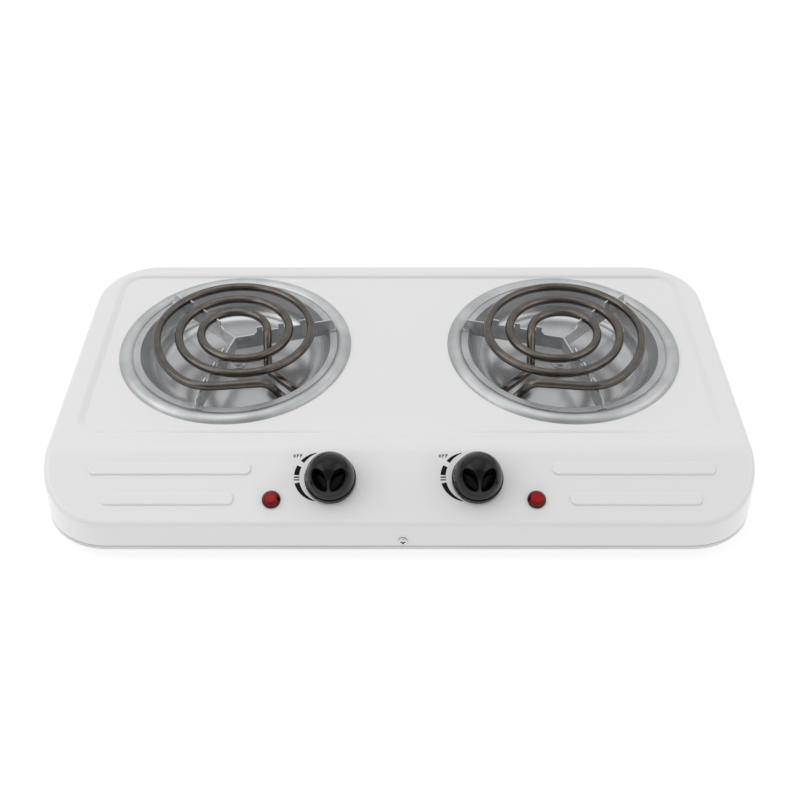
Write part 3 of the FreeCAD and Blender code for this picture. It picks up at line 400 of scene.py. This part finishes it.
def letters_off(x, y, width, height, stroke, gap):
    """The word OFF as plain strokes, from its lower left corner."""
    wide = (width - 2 * gap) / 3
    outlines = [half_ring(x, y, wide, height, stroke, start) for start in (90.0, 270.0)]
    top_length = wide - stroke
    middle_length = top_length * 0.8
    middle_height = height * 0.45
    for letter in (1, 2):
        left = x + letter * (wide + gap)
        outlines.append(bar(left, y, stroke, height))
        outlines.append(bar(left + stroke, y + height - stroke, top_length, stroke))
        outlines.append(bar(left + stroke, y + middle_height, middle_length, stroke))
    return outlines


scale_ink = ink("scale_ink", grey(0.003), grey(0.008))
letter_ink = ink("letter_ink", grey(0.05), grey(0.09))
segments = [crescent(start, end) for start, end in scale_segments]
letters = letters_off(*off_corner, *off_size, off_stroke, off_gap)
marks = [bar(*mark) for mark in mark_bars]
for joint in frame["joints"]:
    side = joint["name"].split("_")[0]
    place = print_place(joint)
    printed(side + "_scale", segments, place, scale_ink)
    printed(side + "_off_mark", letters, place, letter_ink)
    printed(side + "_scale_mark", marks, place, letter_ink)


def floor_finish(white, strength):
    """White ground that keeps the object's shadow: a matt white with a little light of its own."""
    material = bpy.data.materials.new("floor_white")
    material.use_nodes = True
    tree = material.node_tree
    tree.nodes.clear()
    matt = add_node(tree, "ShaderNodeBsdfDiffuse", {"Color": (*white, 1.0)})
    glow = add_node(tree, "ShaderNodeEmission", {"Strength": strength})
    both = add_node(tree, "ShaderNodeAddShader", {0: matt.outputs[0], 1: glow.outputs[0]})
    add_node(tree, "ShaderNodeOutputMaterial", {"Surface": both.outputs[0]})
    return material


floor_half = 4.0
floor_signs = ((-1, -1), (1, -1), (1, 1), (-1, 1))
floor_corners = [(x * floor_half, y * floor_half, 0.0) for x, y in floor_signs]
floor_mesh = bpy.data.meshes.new("floor")
floor_mesh.from_pydata(floor_corners, [], [(0, 1, 2, 3)])
floor_mesh.materials.append(floor_finish(white=grey(0.42), strength=0.68))
floor = bpy.data.objects.new("floor", floor_mesh)
scene.collection.objects.link(floor)


def studio_world(brightest, least, greatest, sides, dark, dark_share):
    """Soft white studio: brightest above and behind, dimmer in front and at both sides.

    A soft dark patch stands where the photographer stood.
    """
    world = bpy.data.worlds.new("studio")
    world.use_nodes = True
    tree = world.node_tree
    background = tree.nodes["Background"]
    background.inputs["Color"].default_value = (1.0, 1.0, 1.0, 1.0)
    way = add_node(tree, "ShaderNodeTexCoord").outputs["Generated"]

    def towards(direction):
        inputs = {0: way, 1: Vector(direction).normalized()}
        node = add_node(tree, "ShaderNodeVectorMath", inputs, operation="DOT_PRODUCT")
        return node.outputs["Value"]

    def worked(operation, *values):
        node = add_node(tree, "ShaderNodeMath", dict(enumerate(values)), operation=operation)
        return node.outputs[0]

    level = soft_step(tree, towards(brightest), start=0.0, end=0.95, low=least, high=greatest)
    across = add_node(tree, "ShaderNodeSeparateXYZ", {0: way}).outputs["X"]
    total = worked("MULTIPLY_ADD", worked("ABSOLUTE", across), sides, level)
    patch = soft_step(tree, towards(dark), start=0.75, end=0.95, low=1.0, high=dark_share)
    tree.links.new(worked("MULTIPLY", total, patch), background.inputs["Strength"])
    return world


scene.world = studio_world(
    brightest=(0.0, 0.45, 0.89), least=0.8, greatest=0.88, sides=-0.15,
    dark=(0.0, -0.82, 0.57), dark_share=0.4)

lamp_target = Vector((0.0, -0.05, 0.05))


def softbox(name, place, size, power):
    """A rectangular lamp that faces the object, with its power in watts."""
    lamp = bpy.data.lights.new(name, "AREA")
    lamp.shape = "RECTANGLE"
    lamp.size, lamp.size_y = size
    lamp.energy = power
    box = bpy.data.objects.new(name, lamp)
    box.location = place
    box.rotation_euler = (lamp_target - Vector(place)).to_track_quat("-Z", "Y").to_euler()
    scene.collection.objects.link(box)


softbox("left", place=(-1.2, -0.2, 1.0), size=(1.3, 0.8), power=4.0)
softbox("right", place=(1.2, -0.2, 1.0), size=(1.3, 0.8), power=2.4)
softbox("key", place=(-0.35, 0.2, 1.5), size=(1.4, 1.1), power=2.4)

# The camera of the photo, worked out from its rings and straight edges.
camera_data = bpy.data.cameras.new("camera")
camera_data.lens = 48.43
camera_data.sensor_width = 36.0
camera_data.shift_x = 0.000875
camera_tilt = math.radians(48.29)
camera = bpy.data.objects.new("camera", camera_data)
camera.location = (0.0, -0.5929, 0.5506)
camera.rotation_euler = (camera_tilt, 0.0, 0.0)
scene.collection.objects.link(camera)
scene.camera = camera

scene.view_settings.view_transform = "Standard"
